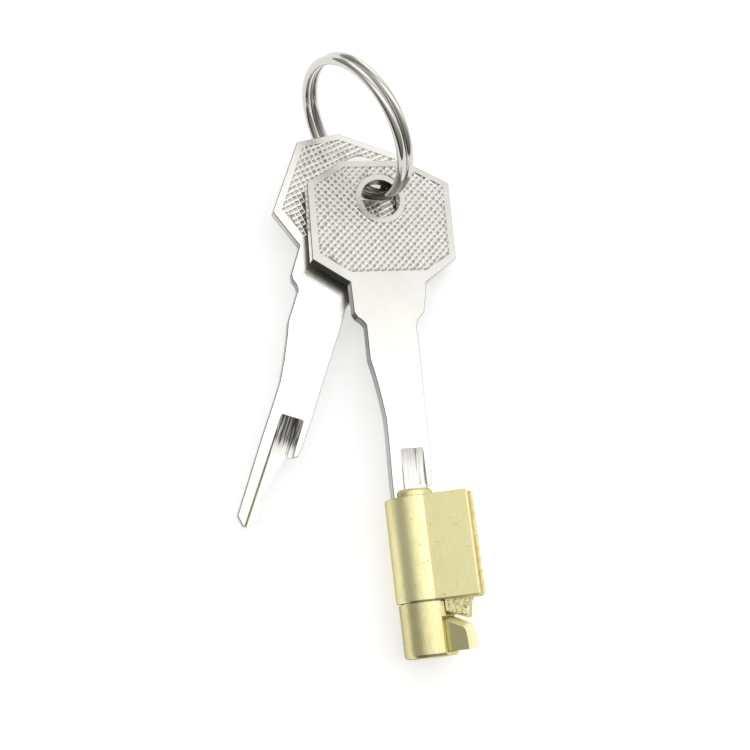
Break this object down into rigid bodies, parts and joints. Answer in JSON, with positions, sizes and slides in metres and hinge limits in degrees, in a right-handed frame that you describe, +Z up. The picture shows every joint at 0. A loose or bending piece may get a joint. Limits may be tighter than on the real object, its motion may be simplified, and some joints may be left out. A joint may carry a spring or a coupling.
{
  "type": "lock barrel with keys",
  "caption": "Small brass fin-type lock barrel with a key in its plug, a turning tail with a locking hook, and a spare key on a split ring.",
  "frame": {"origin": "centre of the bottom of the whole object's box, on the surface that it lies on, keys and ring included", "axes": "+Z up, away from that surface; +Y from the lock's tail towards the bows of the keys; +X towards the side that the fin points to"},
  "size_m": [0.0422, 0.0994, 0.0271],
  "materials": {
    "lock_brass": "pale cast brass, bead blasted on the fin, brighter on the turned barrel",
    "rough_brass": "rough, staked brass strip",
    "key_nickel": "satin nickel plate over stamped brass, fine scratches",
    "ring_steel": "bright nickel-plated spring steel wire",
    "pin_brass": "turned brass",
    "spring_steel": "drawn spring wire and hardened pin"
  },
  "bodies": {
    "body": {"lock_body": "lock_brass", "chamber_cover_strip": "rough_brass", "plug_retaining_pin": "spring_steel", "pin_spring_1": "spring_steel", "pin_spring_2": "spring_steel", "pin_spring_3": "spring_steel", "pin_spring_4": "spring_steel"},
    "plug": {"plug": "lock_brass", "locking_hook": "lock_brass"},
    "key": {"key_in_lock": "key_nickel"},
    "ring": {"split_ring": "ring_steel"},
    "spare": {"spare_key": "key_nickel"},
    "driver_1": {"driver_pin_1": "pin_brass"},
    "key_pin_1": {"key_pin_1": "pin_brass"},
    "driver_2": {"driver_pin_2": "pin_brass"},
    "key_pin_2": {"key_pin_2": "pin_brass"},
    "driver_3": {"driver_pin_3": "pin_brass"},
    "key_pin_3": {"key_pin_3": "pin_brass"},
    "driver_4": {"driver_pin_4": "pin_brass"},
    "key_pin_4": {"key_pin_4": "pin_brass"}
  },
  "joints": [
    {"name": "plug_turn", "type": "hinge", "parent": "body", "child": "plug", "pos_m": [0.00799, -0.02415, 0.00513], "axis": [0, 0.9997, 0.026], "range_deg": [-24.5, 65.5]},
    {"name": "key_slide", "type": "slide", "parent": "plug", "child": "key", "axis": [0, 0.9997, 0.026], "range_m": [0, 0.018]},
    {"name": "ring_turn", "type": "hinge", "parent": "key", "child": "ring", "pos_m": [0.00568, 0.03794, 0.01439], "axis": [-0.8105, -0.4987, 0.3071], "range_deg": [-120, 0]},
    {"name": "spare_swing", "type": "hinge", "parent": "ring", "child": "spare", "pos_m": [0.00564, 0.03256, 0.00408], "axis": [0.2179, -0.086, 0.9722], "range_deg": [0, 90]},
    {"name": "driver_1_slide", "type": "slide", "parent": "body", "child": "driver_1", "axis": [0.986, -0.0043, 0.1667], "range_m": [0, 0.0006], "stiffness_N_per_m": 200, "springref_m": -0.002, "deforming": ["pin_spring_1"]},
    {"name": "key_pin_1_slide", "type": "slide", "parent": "plug", "child": "key_pin_1", "axis": [0.9664, 0.0067, -0.257], "range_m": [-0.0001, 0.0001]},
    {"name": "driver_2_slide", "type": "slide", "parent": "body", "child": "driver_2", "axis": [0.986, -0.0043, 0.1667], "range_m": [0, 0.0006], "stiffness_N_per_m": 200, "springref_m": -0.002, "deforming": ["pin_spring_2"]},
    {"name": "key_pin_2_slide", "type": "slide", "parent": "plug", "child": "key_pin_2", "axis": [0.9664, 0.0067, -0.257], "range_m": [-0.0001, 0.0001]},
    {"name": "driver_3_slide", "type": "slide", "parent": "body", "child": "driver_3", "axis": [0.986, -0.0043, 0.1667], "range_m": [0, 0.0006], "stiffness_N_per_m": 200, "springref_m": -0.002, "deforming": ["pin_spring_3"]},
    {"name": "key_pin_3_slide", "type": "slide", "parent": "plug", "child": "key_pin_3", "axis": [0.9664, 0.0067, -0.257], "range_m": [-0.0001, 0.0001]},
    {"name": "driver_4_slide", "type": "slide", "parent": "body", "child": "driver_4", "axis": [0.986, -0.0043, 0.1667], "range_m": [0, 0.0006], "stiffness_N_per_m": 200, "springref_m": -0.002, "deforming": ["pin_spring_4"]},
    {"name": "key_pin_4_slide", "type": "slide", "parent": "plug", "child": "key_pin_4", "axis": [0.9664, 0.0067, -0.257], "range_m": [-0.0001, 0.0001]}
  ]
}
